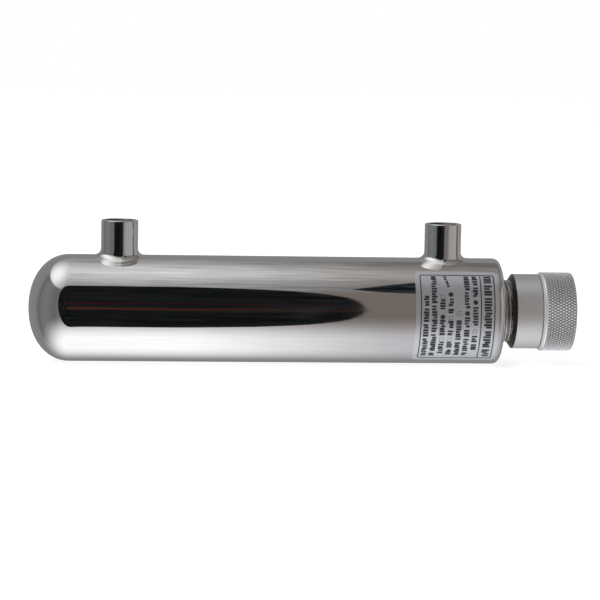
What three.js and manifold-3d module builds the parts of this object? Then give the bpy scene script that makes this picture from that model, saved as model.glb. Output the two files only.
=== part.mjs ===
// Inline UV clarifier for a pond or aquarium: a polished steel chamber with two threaded ports, a quartz
// sleeve sealed by a gland nut, and a UV lamp whose socket sits under a knurled cap.
// Millimetres, +Z up. The origin is on the chamber's axis, midway between the two ports. +X runs along
// the axis towards the cap, and the ports point up.
import * as THREE from "three";
import { mergeVertices } from "three/addons/utils/BufferGeometryUtils.js";
import Module from "manifold-3d";

const wasm = await Module();
wasm.setup();

// Clearances.
const GAP = 0.3; // between pieces that are welded, pressed or screwed face to face
const RUNNING_CLEARANCE = 0.25; // radial, between a thread and its nut

// Chamber: 2 inch tube, a deep-drawn dome on the left and a flat pressed end on the right.
const CHAMBER_RADIUS = 25.4;
const CHAMBER_WALL = 1.2;
const DOME_BASE_X = -100.5;
const DOME_DEPTH = 19.6;
const DOME_POWER = 2.11; // exponent of the dome's superellipse
const SHOULDER_FACE_X = 104.8;
const SHOULDER_CORNER = 3;

// Ports: G1/4 sockets, drawn at their minor diameter.
const PORT_X = 77.3; // from the origin, one each way
const PORT_RADIUS = 8.75;
const PORT_BORE_RADIUS = 5.72;
const PORT_MOUTH_RADIUS = 6.9;
const PORT_MOUTH_DEPTH = 1.2;
const PORT_RIM_Z = 42;
const PORT_CHAMFER = 0.4;
const WELD_WIDTH = 3.7;
const WELD_HEIGHT = 2.4;
const WELD_TOE = 0.2;

// Neck: G7/8 outside thread, drawn at its major diameter.
const NECK_RADIUS = 15.1;
const NECK_END_X = 119;
const NECK_BORE_RADIUS = 10.6;
const NECK_SPIGOT_RADIUS = 13.1;
const NECK_SPIGOT_LENGTH = 2.4;
const NECK_CHAMFER = 0.8;
const SEAT_RADIUS = 12.95;
const SEAT_DEPTH = 2.1;

// Label on the front of the chamber, in whole facets of the tube.
const LABEL_START_X = 61.7;
const LABEL_LENGTH = 39.6;
const LABEL_LOWEST_FACET = -11; // counted from the front, upwards
const LABEL_HIGHEST_FACET = 9;
const LABEL_INNER_RADIUS = 25.5;
const LABEL_OUTER_RADIUS = 25.7;

// Quartz sleeve, its seal and its centring spring.
const SLEEVE_RADIUS = 10;
const SLEEVE_WALL = 1.3;
const SLEEVE_TIP_X = -108.5;
const SLEEVE_MOUTH_X = 123;
const ORING_SECTION_RADIUS = 1.25;
const ORING_RING_RADIUS = 11.5;
const SPRING_RADIUS = 6.5;
const SPRING_WIRE_RADIUS = 0.5;
const SPRING_START_X = -117.3;
const SPRING_END_X = -107.2;
const SPRING_TURNS = 4;

// Gland nut, with the thread for the cap on its outer end, and the washer it presses on the O-ring.
const WASHER_RADIUS = 14.9;
const WASHER_BORE_RADIUS = 10.3;
const WASHER_THICKNESS = 1.2;
const WASHER_X = 119.9;
const NUT_X = 110;
const NUT_RADIUS = 18;
const NUT_FACE_RADIUS = 15.6;
const NUT_BEVEL_LENGTH = 1.6;
const NUT_LENGTH = 14;
const NUT_EDGE = 0.2;
const NUT_THREAD_DEPTH = 11.4;
const NUT_BORE_RADIUS = 11;
const SPIGOT_RADIUS = 16;
const SPIGOT_LENGTH = 10.2;
const SPIGOT_CHAMFER = 0.6;

// Cap, its gasket and the grommet in its end.
const CAP_X = NUT_X + NUT_LENGTH + GAP;
const CAP_RADIUS = 19;
const CAP_FACE_RADIUS = 18.1;
const CAP_BEVEL_LENGTH = 1.2;
const CAP_LENGTH = 16;
const CAP_END_RADIUS = 17.7;
const CAP_END_ROUND = 1.3;
const CAP_THREAD_DEPTH = 11.7;
const CAP_HOLE_RADIUS = 5.2;
const GASKET_INNER_RADIUS = 11.5;
const GASKET_OUTER_RADIUS = 15.8;
const GASKET_THICKNESS = 1.2;
const GROMMET_HOLE_RADIUS = 3;
const GROMMET_NECK_RADIUS = 4.9;
const GROMMET_INNER_FLANGE_RADIUS = 7.5;
const GROMMET_OUTER_FLANGE_RADIUS = 6.6;
const GROMMET_INNER_FLANGE = 1.5;
const GROMMET_OUTER_FLANGE = 0.8;

// Lamp: a single-ended T5 tube, 212 mm between its faces, with four pins.
const LAMP_X = -100;
const LAMP_LENGTH = 212;
const LAMP_GLASS_RADIUS = 7.6;
const LAMP_GLASS_WALL = 0.8;
const LAMP_CAP_RADIUS = 8.4;
const LAMP_RECESS_RADIUS = 7.85;
const LAMP_END_CAP_LENGTH = 8;
const LAMP_END_CAP_RECESS = 6;
const LAMP_BASE_LENGTH = 20;
const LAMP_BASE_RECESS = 8;
const RETURN_WIRE_RADIUS = 0.25;
const RETURN_WIRE_OFFSET = 8.12;
const FILAMENT_WIRE_RADIUS = 0.35;
const FILAMENT_HALF_WIDTH = 3;
const FILAMENT_LENGTH = 12;
const FILAMENT_STRAIGHT = 0.5; // share of its length before the wire starts to bend in
const FILAMENT_BEND = 0.95; // share of its length where the bend is sharpest
const FILAMENT_BEND_WIDTH = 0.9; // share of its half width there
const PIN_RADIUS = 1.1;
const PIN_LENGTH = 10.5;
const PIN_SOCKET_DEPTH = 3.4;
const PIN_HOLE_RADIUS = 1.35;
const PIN_HALF_SPACING_Y = 3.2;
const PIN_HALF_SPACING_Z = 4;

// Lamp socket: its front goes into the sleeve's mouth and its collar rests on the sleeve's end.
const SOCKET_RADIUS = 8.4;
const SOCKET_FRONT_LENGTH = 10.9;
const COLLAR_RADIUS = 10.5;
const COLLAR_LENGTH = 2.2;
const SOCKET_REAR_RADIUS = 7;
const SOCKET_REAR_LENGTH = 5.5;
const SOCKET_CABLE_RADIUS = 3.1;
const SOCKET_CABLE_DEPTH = 4;
const CONTACT_HOLE_RADIUS = 1.7;
const CONTACT_HOLE_DEPTH = 9.6;
const CONTACT_RADIUS = 1.5;
const CONTACT_BORE_RADIUS = 1.28;
const CONTACT_LENGTH = 8.5;
const CONTACT_INSET = 0.5;

// Facets round each size of piece.
const CHAMBER_SIDES = 64;
const FITTING_SIDES = 48;
const PORT_SIDES = 40;
const SLEEVE_SIDES = 32;
const LAMP_SIDES = 24;
const PIN_SIDES = 12;
const WIRE_SIDES = 6;
const ORING_SECTION_SIDES = 8;
const SPRING_STEPS_PER_TURN = 16;
const FILAMENT_STEPS = 18;
const ARC_STEPS = 4;
const SLEEVE_END_STEPS = 6;
const DOME_STEPS = 8;

// Points closer than this are one point.
const MERGE_DISTANCE = 1e-3;

// Materials, a new one for each mesh.
const material = (color, roughness, metalness) => () =>
  new THREE.MeshStandardMaterial({ color, roughness, metalness });
const polishedSteel = material(0xc8cacc, 0.06, 1);
const springSteel = material(0xa9abad, 0.3, 1);
const satinAluminium = material(0xb4b4ba, 0.35, 1);
const foil = material(0xc3c8cf, 0.45, 0.6);
const rubber = material(0x1b1b1c, 0.8, 0);
const nylon = material(0xe9e6dc, 0.5, 0);
const socketPlastic = material(0x2a2a2c, 0.45, 0);
const ceramic = material(0xf2efe6, 0.35, 0);
const plating = material(0xc9a45c, 0.25, 1);
const tungsten = material(0x77736c, 0.4, 1);

function quartz() {
  const glass = material(0xe6eef2, 0.02, 0)();
  glass.transparent = true;
  glass.opacity = 0.35;
  return glass;
}

// A solid of revolution about +X, from an outline of [x, radius] points. The outline starts and ends on
// the axis, or is closed here.
function turned(outline, sides) {
  const points = outline.map(([x, radius]) => new THREE.Vector2(radius, x));
  const onAxis = points[0].x === 0 && points.at(-1).x === 0;
  if (THREE.ShapeUtils.area(points) < 0) points.reverse();
  if (!onAxis) points.push(points[0].clone());
  return new THREE.LatheGeometry(points, sides).rotateZ(-Math.PI / 2);
}

// The outline of a plain ring or tube that starts at x = 0.
function ring(length, outerRadius, innerRadius) {
  return [
    [0, innerRadius],
    [0, outerRadius],
    [length, outerRadius],
    [length, innerRadius],
  ];
}

// Points of a quarter superellipse about a centre, from its full radius round to its full reach along x.
function quarter(centreX, centreRadius, reachX, reachRadius, steps, power = 2) {
  return Array.from({ length: steps + 1 }, (_, i) => {
    const angle = (i / steps) * (Math.PI / 2);
    const x = centreX + reachX * Math.sin(angle) ** (2 / power);
    const radius = centreRadius + reachRadius * Math.cos(angle) ** (2 / power);
    return [x, Math.abs(radius) < MERGE_DISTANCE ? 0 : radius];
  });
}

// A geometry as a manifold-3d solid.
function solidOf(geometry) {
  const bare = new THREE.BufferGeometry();
  bare.setAttribute("position", geometry.getAttribute("position"));
  bare.setIndex(geometry.index);
  const merged = mergeVertices(bare, MERGE_DISTANCE);
  const mesh = new wasm.Mesh({
    numProp: 3,
    vertProperties: merged.attributes.position.array,
    triVerts: new Uint32Array(merged.index.array),
  });
  return new wasm.Manifold(mesh);
}

// A geometry with every tool geometry cut out of it.
function cut(geometry, tools) {
  const left = tools.reduce((solid, tool) => solid.subtract(solidOf(tool)), solidOf(geometry));
  const mesh = left.getMesh();
  const result = new THREE.BufferGeometry();
  result.setAttribute("position", new THREE.BufferAttribute(mesh.vertProperties, 3));
  result.setIndex(new THREE.BufferAttribute(mesh.triVerts, 1));
  result.computeVertexNormals();
  return result;
}

// A round rod of one length along +X, starting at x = 0.
function rod(radius, length, sides) {
  return turned([[0, 0], [0, radius], [length, radius], [length, 0]], sides);
}

function roundSection(radius, sides) {
  const corners = Array.from({ length: sides }, (_, i) => {
    const angle = (i / sides) * 2 * Math.PI;
    return new THREE.Vector2(radius * Math.cos(angle), radius * Math.sin(angle));
  });
  return new THREE.Shape(corners);
}

function wireAlong(path, radius, steps) {
  return new THREE.ExtrudeGeometry(roundSection(radius, WIRE_SIDES), {
    steps,
    extrudePath: path,
    bevelEnabled: false,
  });
}

function pieceOf(name, geometry, itsMaterial, x = 0, y = 0, z = 0) {
  const mesh = new THREE.Mesh(geometry, itsMaterial());
  mesh.name = name;
  mesh.position.set(x, y, z);
  return mesh;
}

// The four pin places, seen along the axis.
const pinPlaces = [
  [-PIN_HALF_SPACING_Y, -PIN_HALF_SPACING_Z],
  [PIN_HALF_SPACING_Y, -PIN_HALF_SPACING_Z],
  [PIN_HALF_SPACING_Y, PIN_HALF_SPACING_Z],
  [-PIN_HALF_SPACING_Y, PIN_HALF_SPACING_Z],
];

// Chamber pieces.
function chamberTube() {
  const startX = DOME_BASE_X + GAP;
  const length = SHOULDER_FACE_X - SHOULDER_CORNER - GAP - startX;
  const wall = turned(ring(length, CHAMBER_RADIUS, CHAMBER_RADIUS - CHAMBER_WALL), CHAMBER_SIDES);
  const drillLength = CHAMBER_RADIUS / 2;
  const holes = [-PORT_X, PORT_X].map((x) =>
    new THREE.CylinderGeometry(PORT_BORE_RADIUS, PORT_BORE_RADIUS, drillLength, PORT_SIDES)
      .rotateX(Math.PI / 2)
      .translate(x - startX, 0, CHAMBER_RADIUS),
  );
  return pieceOf("chamber_tube", cut(wall, holes), polishedSteel, startX);
}

function domeEnd() {
  const arc = (depth, radius) => quarter(0, 0, -depth, radius, DOME_STEPS, DOME_POWER);
  const outer = arc(DOME_DEPTH, CHAMBER_RADIUS);
  const inner = arc(DOME_DEPTH - CHAMBER_WALL, CHAMBER_RADIUS - CHAMBER_WALL);
  const outline = [...outer.reverse(), ...inner];
  return pieceOf("dome_end", turned(outline, CHAMBER_SIDES), polishedSteel, DOME_BASE_X);
}

function shoulderEnd() {
  const cornerRadius = CHAMBER_RADIUS - SHOULDER_CORNER;
  const innerCorner = SHOULDER_CORNER - CHAMBER_WALL;
  const holeRadius = NECK_SPIGOT_RADIUS + GAP;
  const outline = [
    ...quarter(0, cornerRadius, SHOULDER_CORNER, SHOULDER_CORNER, ARC_STEPS),
    [SHOULDER_CORNER, holeRadius],
    [innerCorner, holeRadius],
    ...quarter(0, cornerRadius, innerCorner, innerCorner, ARC_STEPS).reverse(),
  ];
  const startX = SHOULDER_FACE_X - SHOULDER_CORNER;
  return pieceOf("shoulder_end", turned(outline, CHAMBER_SIDES), polishedSteel, startX);
}

// The spigot goes through the flat end, and the thread starts on its outer face.
function threadedNeck() {
  const startX = SHOULDER_FACE_X + GAP - NECK_SPIGOT_LENGTH;
  const length = NECK_END_X - startX;
  const outline = [
    [0, NECK_BORE_RADIUS],
    [0, NECK_SPIGOT_RADIUS],
    [NECK_SPIGOT_LENGTH, NECK_SPIGOT_RADIUS],
    [NECK_SPIGOT_LENGTH, NECK_RADIUS],
    [length - NECK_CHAMFER, NECK_RADIUS],
    [length, NECK_RADIUS - NECK_CHAMFER],
    [length, SEAT_RADIUS],
    [length - SEAT_DEPTH, SEAT_RADIUS],
    [length - SEAT_DEPTH, NECK_BORE_RADIUS],
  ];
  return pieceOf("threaded_neck", turned(outline, FITTING_SIDES), polishedSteel, startX);
}

// Its weld fillet is drawn flat and then laid on the tube: each low point drops as far as the tube's
// surface has fallen away at that distance from the top line.
function port(name, x) {
  const weldTop = GAP + WELD_HEIGHT;
  const rim = PORT_RIM_Z - CHAMBER_RADIUS;
  const fillet = Array.from({ length: ARC_STEPS + 1 }, (_, i) => {
    const angle = (i / ARC_STEPS) * (Math.PI / 2);
    const height = weldTop - (WELD_HEIGHT - WELD_TOE) * Math.sin(angle);
    return [height, PORT_RADIUS + WELD_WIDTH * (1 - Math.cos(angle))];
  });
  const outline = [
    [GAP, PORT_BORE_RADIUS],
    [GAP, PORT_RADIUS + WELD_WIDTH],
    ...fillet.reverse(),
    [rim - PORT_CHAMFER, PORT_RADIUS],
    [rim, PORT_RADIUS - PORT_CHAMFER],
    [rim, PORT_MOUTH_RADIUS],
    [rim - PORT_MOUTH_DEPTH, PORT_BORE_RADIUS],
  ];
  const body = turned(outline, PORT_SIDES).rotateY(-Math.PI / 2);
  const points = body.getAttribute("position");
  for (let i = 0; i < points.count; i += 1) {
    const sideways = points.getY(i);
    const sag = CHAMBER_RADIUS - Math.sqrt(CHAMBER_RADIUS ** 2 - sideways ** 2);
    const height = points.getZ(i);
    if (height < weldTop + GAP) points.setZ(i, height - sag);
  }
  body.computeVertexNormals();
  return pieceOf(name, body, polishedSteel, x, 0, CHAMBER_RADIUS);
}

function ratingLabel() {
  const facet = (2 * Math.PI) / CHAMBER_SIDES;
  const arc = (radius) => {
    const corners = [];
    for (let i = LABEL_LOWEST_FACET; i <= LABEL_HIGHEST_FACET; i += 1) {
      const angle = i * facet;
      corners.push(new THREE.Vector2(-radius * Math.sin(angle), -radius * Math.cos(angle)));
    }
    return corners;
  };
  const section = new THREE.Shape([...arc(LABEL_OUTER_RADIUS), ...arc(LABEL_INNER_RADIUS).reverse()]);
  const sheet = new THREE.ExtrudeGeometry(section, { depth: LABEL_LENGTH, bevelEnabled: false });
  return pieceOf("rating_label", sheet.rotateY(Math.PI / 2), foil, LABEL_START_X);
}

class Helix extends THREE.Curve {
  constructor(radius, length, turns) {
    super();
    Object.assign(this, { radius, length, turns });
  }

  getPoint(t, target = new THREE.Vector3()) {
    const angle = t * this.turns * 2 * Math.PI;
    return target.set(t * this.length, this.radius * Math.cos(angle), this.radius * Math.sin(angle));
  }
}

function centringSpring() {
  const coil = new Helix(SPRING_RADIUS, SPRING_END_X - SPRING_START_X, SPRING_TURNS);
  const wire = wireAlong(coil, SPRING_WIRE_RADIUS, SPRING_TURNS * SPRING_STEPS_PER_TURN);
  return pieceOf("sleeve_centring_spring", wire, springSteel, SPRING_START_X);
}

function chamber() {
  const group = new THREE.Group();
  group.add(chamberTube(), domeEnd(), shoulderEnd(), threadedNeck());
  group.add(port("inlet_port", -PORT_X), port("outlet_port", PORT_X));
  group.add(ratingLabel(), centringSpring());
  return group;
}

// Sleeve pieces.
function quartzSleeve() {
  const centreX = SLEEVE_RADIUS;
  const length = SLEEVE_MOUTH_X - SLEEVE_TIP_X;
  const boreRadius = SLEEVE_RADIUS - SLEEVE_WALL;
  const end = (radius) => quarter(centreX, 0, -radius, radius, SLEEVE_END_STEPS);
  const outline = [
    ...end(SLEEVE_RADIUS).reverse(),
    [length, SLEEVE_RADIUS],
    [length, boreRadius],
    ...end(boreRadius),
  ];
  return pieceOf("quartz_sleeve", turned(outline, SLEEVE_SIDES), quartz, SLEEVE_TIP_X);
}

function sleeveSeal() {
  const x = NECK_END_X - SEAT_DEPTH + ORING_SECTION_RADIUS + GAP;
  const seal = new THREE.TorusGeometry(
    ORING_RING_RADIUS,
    ORING_SECTION_RADIUS,
    ORING_SECTION_SIDES,
    SLEEVE_SIDES,
  );
  return pieceOf("sleeve_oring", seal.rotateY(Math.PI / 2), rubber, x);
}

function sleeve() {
  const group = new THREE.Group();
  group.add(quartzSleeve(), sleeveSeal());
  return group;
}

// Gland pieces.
function thrustWasher() {
  const outline = ring(WASHER_THICKNESS, WASHER_RADIUS, WASHER_BORE_RADIUS);
  return pieceOf("thrust_washer", turned(outline, SLEEVE_SIDES), nylon, WASHER_X);
}

function glandNut() {
  const end = NUT_LENGTH + SPIGOT_LENGTH;
  const threadRadius = NECK_RADIUS + RUNNING_CLEARANCE;
  const outline = [
    [0, threadRadius],
    [0, NUT_FACE_RADIUS],
    [NUT_BEVEL_LENGTH, NUT_RADIUS],
    [NUT_LENGTH - NUT_EDGE, NUT_RADIUS],
    [NUT_LENGTH, NUT_RADIUS - NUT_EDGE],
    [NUT_LENGTH, SPIGOT_RADIUS],
    [end - SPIGOT_CHAMFER, SPIGOT_RADIUS],
    [end, SPIGOT_RADIUS - SPIGOT_CHAMFER],
    [end, NUT_BORE_RADIUS],
    [NUT_THREAD_DEPTH, NUT_BORE_RADIUS],
    [NUT_THREAD_DEPTH, threadRadius],
  ];
  return pieceOf("gland_nut", turned(outline, FITTING_SIDES), satinAluminium, NUT_X);
}

function gland() {
  const group = new THREE.Group();
  group.add(thrustWasher(), glandNut());
  return group;
}

// Lamp pieces, placed from the lamp's far face.
function lampGlass() {
  const startX = LAMP_END_CAP_LENGTH - LAMP_END_CAP_RECESS + GAP;
  const endX = LAMP_LENGTH - LAMP_BASE_LENGTH + LAMP_BASE_RECESS - GAP;
  const outline = ring(endX - startX, LAMP_GLASS_RADIUS, LAMP_GLASS_RADIUS - LAMP_GLASS_WALL);
  return pieceOf("lamp_glass", turned(outline, LAMP_SIDES), quartz, startX);
}

function lampEndCap() {
  const floorX = LAMP_END_CAP_LENGTH - LAMP_END_CAP_RECESS;
  const outline = [
    [0, 0],
    [0, LAMP_CAP_RADIUS],
    [LAMP_END_CAP_LENGTH, LAMP_CAP_RADIUS],
    [LAMP_END_CAP_LENGTH, LAMP_RECESS_RADIUS],
    [floorX, LAMP_RECESS_RADIUS],
    [floorX, 0],
  ];
  return pieceOf("lamp_end_cap", turned(outline, LAMP_SIDES), ceramic);
}

function lampBase() {
  const outline = [
    [LAMP_BASE_RECESS, 0],
    [LAMP_BASE_RECESS, LAMP_RECESS_RADIUS],
    [0, LAMP_RECESS_RADIUS],
    [0, LAMP_CAP_RADIUS],
    [LAMP_BASE_LENGTH, LAMP_CAP_RADIUS],
    [LAMP_BASE_LENGTH, 0],
  ];
  const holes = pinPlaces.map(([y, z]) =>
    rod(PIN_HOLE_RADIUS, LAMP_BASE_LENGTH, PIN_SIDES).translate(LAMP_BASE_LENGTH - PIN_SOCKET_DEPTH, y, z),
  );
  const body = cut(turned(outline, LAMP_SIDES), holes);
  return pieceOf("lamp_base", body, ceramic, LAMP_LENGTH - LAMP_BASE_LENGTH);
}

function lampPins() {
  const startX = LAMP_LENGTH - PIN_SOCKET_DEPTH + GAP;
  return pinPlaces.map(([y, z], i) =>
    pieceOf(`lamp_pin_${i + 1}`, rod(PIN_RADIUS, PIN_LENGTH, PIN_SIDES), plating, startX, y, z),
  );
}

// The wires that bring the far filament's current back along the outside of the glass.
function returnWires() {
  const startX = LAMP_END_CAP_LENGTH + GAP;
  const length = LAMP_LENGTH - LAMP_BASE_LENGTH - GAP - startX;
  return [-1, 1].map((side, i) => {
    const wire = rod(RETURN_WIRE_RADIUS, length, WIRE_SIDES);
    return pieceOf(`return_wire_${i + 1}`, wire, springSteel, startX, side * RETURN_WIRE_OFFSET);
  });
}

// A filament across the tube, with its two lead-in wires running back to the lamp's end.
function filament(name, startX, direction) {
  const reach = FILAMENT_LENGTH * direction;
  const leadIn = (side) => [
    new THREE.Vector3(0, side * FILAMENT_HALF_WIDTH, 0),
    new THREE.Vector3(reach * FILAMENT_STRAIGHT, side * FILAMENT_HALF_WIDTH, 0),
    new THREE.Vector3(reach * FILAMENT_BEND, side * FILAMENT_HALF_WIDTH * FILAMENT_BEND_WIDTH, 0),
  ];
  const tip = new THREE.Vector3(reach, 0, 0);
  const path = new THREE.CatmullRomCurve3([...leadIn(-1), tip, ...leadIn(1).reverse()]);
  return pieceOf(name, wireAlong(path, FILAMENT_WIRE_RADIUS, FILAMENT_STEPS), tungsten, startX);
}

function lamp() {
  const group = new THREE.Group();
  group.position.x = LAMP_X;
  const farX = LAMP_END_CAP_LENGTH - LAMP_END_CAP_RECESS + GAP;
  const nearX = LAMP_LENGTH - LAMP_BASE_LENGTH + LAMP_BASE_RECESS - GAP;
  group.add(lampGlass(), lampEndCap(), lampBase(), ...lampPins(), ...returnWires());
  group.add(filament("filament_far", farX, 1), filament("filament_near", nearX, -1));
  return group;
}

// Socket pieces, placed from the socket's front face.
function lampSocket() {
  const collarX = SOCKET_FRONT_LENGTH + GAP / 2;
  const rearX = collarX + COLLAR_LENGTH;
  const endX = rearX + SOCKET_REAR_LENGTH;
  const outline = [
    [0, 0],
    [0, SOCKET_RADIUS],
    [collarX, SOCKET_RADIUS],
    [collarX, COLLAR_RADIUS],
    [rearX, COLLAR_RADIUS],
    [rearX, SOCKET_REAR_RADIUS],
    [endX, SOCKET_REAR_RADIUS],
    [endX, SOCKET_CABLE_RADIUS],
    [endX - SOCKET_CABLE_DEPTH, SOCKET_CABLE_RADIUS],
    [endX - SOCKET_CABLE_DEPTH, 0],
  ];
  const holes = pinPlaces.map(([y, z]) =>
    rod(CONTACT_HOLE_RADIUS, 2 * CONTACT_HOLE_DEPTH, PIN_SIDES).translate(-CONTACT_HOLE_DEPTH, y, z),
  );
  return pieceOf("lamp_socket", cut(turned(outline, LAMP_SIDES), holes), socketPlastic);
}

function socketContacts() {
  const outline = ring(CONTACT_LENGTH, CONTACT_RADIUS, CONTACT_BORE_RADIUS);
  return pinPlaces.map(([y, z], i) =>
    pieceOf(`socket_contact_${i + 1}`, turned(outline, PIN_SIDES), plating, CONTACT_INSET, y, z),
  );
}

function socket() {
  const group = new THREE.Group();
  group.position.x = LAMP_X + LAMP_LENGTH + GAP;
  group.add(lampSocket(), ...socketContacts());
  return group;
}

// Cap pieces, placed from the cap's open face.
function lampCap() {
  const threadRadius = SPIGOT_RADIUS + RUNNING_CLEARANCE;
  const roundX = CAP_LENGTH - CAP_END_ROUND;
  const outline = [
    [0, threadRadius],
    [0, CAP_FACE_RADIUS],
    [CAP_BEVEL_LENGTH, CAP_RADIUS],
    ...quarter(roundX, CAP_END_RADIUS, CAP_END_ROUND, CAP_RADIUS - CAP_END_RADIUS, ARC_STEPS),
    [CAP_LENGTH, CAP_HOLE_RADIUS],
    [CAP_THREAD_DEPTH, CAP_HOLE_RADIUS],
    [CAP_THREAD_DEPTH, threadRadius],
  ];
  return pieceOf("lamp_cap", turned(outline, FITTING_SIDES), satinAluminium);
}

function capGasket() {
  const outline = ring(GASKET_THICKNESS, GASKET_OUTER_RADIUS, GASKET_INNER_RADIUS);
  const x = CAP_THREAD_DEPTH - GAP - GASKET_THICKNESS;
  return pieceOf("cap_gasket", turned(outline, SLEEVE_SIDES), rubber, x);
}

function cableGrommet() {
  const neckLength = CAP_LENGTH - CAP_THREAD_DEPTH + 2 * GAP;
  const outerX = GROMMET_INNER_FLANGE + neckLength;
  const endX = outerX + GROMMET_OUTER_FLANGE;
  const outline = [
    [0, GROMMET_HOLE_RADIUS],
    [0, GROMMET_INNER_FLANGE_RADIUS],
    [GROMMET_INNER_FLANGE, GROMMET_INNER_FLANGE_RADIUS],
    [GROMMET_INNER_FLANGE, GROMMET_NECK_RADIUS],
    [outerX, GROMMET_NECK_RADIUS],
    [outerX, GROMMET_OUTER_FLANGE_RADIUS],
    [endX, GROMMET_OUTER_FLANGE_RADIUS],
    [endX, GROMMET_HOLE_RADIUS],
  ];
  const x = CAP_THREAD_DEPTH - GAP - GROMMET_INNER_FLANGE;
  return pieceOf("cable_grommet", turned(outline, LAMP_SIDES), rubber, x);
}

function cap() {
  const group = new THREE.Group();
  group.position.x = CAP_X;
  group.add(lampCap(), capGasket(), cableGrommet());
  return group;
}

const clarifier = new THREE.Group();
clarifier.add(chamber(), sleeve(), gland(), lamp(), socket(), cap());

export default clarifier;
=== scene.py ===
"""Looks of an inline UV clarifier, built round its CAD frame.

Every outline is in millimetres, as (x, radius) points along the chamber's axis. Where a piece lies along
the axis, and how wide it is, comes from the frame. +X points to the cap, +Z along the ports.
"""

import math
import random

import bpy
import numpy as np
from mathutils import Matrix, Vector


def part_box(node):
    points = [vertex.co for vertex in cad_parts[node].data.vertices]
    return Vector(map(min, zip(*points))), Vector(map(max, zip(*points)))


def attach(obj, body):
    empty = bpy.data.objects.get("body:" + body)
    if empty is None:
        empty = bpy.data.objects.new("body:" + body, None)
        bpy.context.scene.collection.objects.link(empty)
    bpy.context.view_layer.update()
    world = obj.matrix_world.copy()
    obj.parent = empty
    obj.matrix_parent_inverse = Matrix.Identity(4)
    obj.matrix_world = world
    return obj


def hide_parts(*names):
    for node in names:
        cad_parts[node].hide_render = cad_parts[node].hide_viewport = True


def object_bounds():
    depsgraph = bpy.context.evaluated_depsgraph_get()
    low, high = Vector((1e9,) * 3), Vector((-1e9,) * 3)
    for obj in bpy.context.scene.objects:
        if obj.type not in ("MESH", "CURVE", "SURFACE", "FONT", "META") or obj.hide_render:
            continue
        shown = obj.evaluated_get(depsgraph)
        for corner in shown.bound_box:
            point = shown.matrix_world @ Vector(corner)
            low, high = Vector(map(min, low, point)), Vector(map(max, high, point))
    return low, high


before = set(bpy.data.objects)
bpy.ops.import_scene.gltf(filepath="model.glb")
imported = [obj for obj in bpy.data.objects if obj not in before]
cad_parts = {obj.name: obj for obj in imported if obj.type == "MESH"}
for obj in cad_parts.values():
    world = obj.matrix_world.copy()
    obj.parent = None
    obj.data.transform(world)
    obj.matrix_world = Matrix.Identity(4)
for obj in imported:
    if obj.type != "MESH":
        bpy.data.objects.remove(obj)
cad_low, cad_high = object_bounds()

MM = 0.001
TAU = 2 * math.pi

# Walls and bores that the CAD boxes don't give, in millimetres.
CHAMBER_WALL = 1.2
DOME_POWER = 2.11
PORT_BORE = 5.72
PORT_THREAD_DEPTH = 0.8
PORT_THREAD_PITCH = 1.337
PORT_WALL_RADIUS = 8.75
PORT_HOLE_WINDOW = 14.0  # half the width of the finer grid round a port's hole
# Inside this distance from a port's axis the bore is painted near-black, as painted shade.
PORT_DARK_RADIUS = 6.9
WELD_RADIUS = 13.0
WELD_HEIGHT = 3.0
BEAD_WIDTH = 0.9
BEAD_HEIGHT = 0.05
NECK_PITCH = 1.814
NECK_THREAD_DEPTH = 1.05
THREAD_CLEARANCE = 0.25
NECK_SEAT_RADIUS = 12.95
NECK_BORE = 10.6
GLAND_BEVEL = 1.5
CAP_PITCH = 1.5
CAP_THREAD_DEPTH = 0.8
SPIGOT_RADIUS = 16.0  # of the gland nut, where the cap screws on
FACE_GAP = 0.3  # between the gland nut's face and the cap
SLEEVE_WALL = 1.3
GLASS_WALL = 0.8
LAMP_SEAT_RADIUS = 7.85  # inside the lamp's two ceramic ends, where the glass sits

# Knurl of the cap: two families of V grooves that cross.
KNURL_TEETH = 84
KNURL_PERIOD = 2.7
KNURL_DEPTH = 0.42

random.seed(7)


# ---------------------------------------------------------------- mesh helpers


def span(node):
    """(first x, last x, radius) of a CAD node that lies round the axis, in millimetres."""
    low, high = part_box(node)
    return low.x / MM, high.x / MM, high.y / MM


def rounded(outline, radius, steps=4):
    """The closed outline with every corner turned into an arc of about that radius."""
    result = []
    count = len(outline)
    for i, corner in enumerate(outline):
        corner = np.array(corner[:2], float)
        before = np.array(outline[i - 1][:2], float) - corner
        after = np.array(outline[(i + 1) % count][:2], float) - corner
        length_before, length_after = np.linalg.norm(before), np.linalg.norm(after)
        reach = min(radius, 0.45 * length_before, 0.45 * length_after)
        start = corner + before / length_before * reach
        end = corner + after / length_after * reach
        for step in range(steps + 1):
            t = step / steps
            result.append(tuple((1 - t) ** 2 * start + 2 * t * (1 - t) * corner + t**2 * end))
    return result


def arc(centre_x, centre_r, reach_x, reach_r, steps, power=2.0):
    """A quarter superellipse from its widest radius to its farthest x."""
    points = []
    for i in range(steps + 1):
        angle = i / steps * math.pi / 2
        x = centre_x + reach_x * math.sin(angle) ** (2 / power)
        r = centre_r + reach_r * abs(math.cos(angle)) ** (2 / power)
        points.append((x, 0.0 if abs(r) < 1e-6 else r))
    return points


def row_of(start_x, end_x, radius, spacing, relief):
    """Points along a straight stretch that carries a relief, such as a thread."""
    count = max(2, round(abs(end_x - start_x) / spacing))
    return [(start_x + (end_x - start_x) * i / count, radius, relief) for i in range(count + 1)]


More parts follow.
